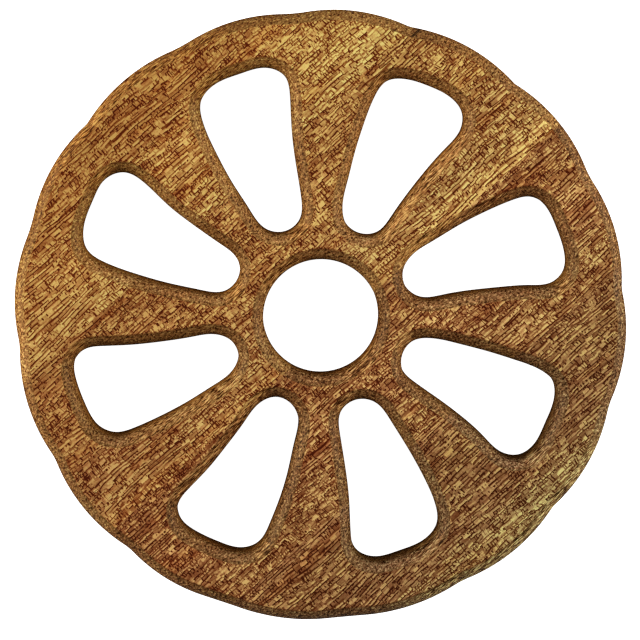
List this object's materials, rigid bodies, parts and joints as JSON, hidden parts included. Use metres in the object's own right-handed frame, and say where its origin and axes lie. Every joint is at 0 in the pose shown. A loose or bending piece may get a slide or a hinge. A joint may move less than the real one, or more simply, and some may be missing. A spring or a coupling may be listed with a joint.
{
  "type": "spoked wooden disc trivet",
  "caption": "Round flat wooden disc with open spokes, a scalloped rim and a plain centre bore; lies flat as a pot stand or decorative wheel.",
  "frame": {"origin": "on the axis of the centre bore, in the plane of the face the disc rests on", "axes": "+Z along the bore axis, from the resting face towards the show face; +Y is the top of the disc as it is hung or pictured; the boards' grain runs 42 degrees from +X towards +Y"},
  "size_m": [0.2034, 0.2036, 0.018],
  "materials": {
    "golden_board": "satin",
    "centre_board": "satin",
    "reddish_board": "satin",
    "sapwood_edge_board": "satin"
  },
  "bodies": {
    "root": {"board_upper_left": "golden_board", "board_centre": "centre_board", "board_right_of_centre": "reddish_board", "board_lower_right": "sapwood_edge_board"}
  },
  "joints": []
}
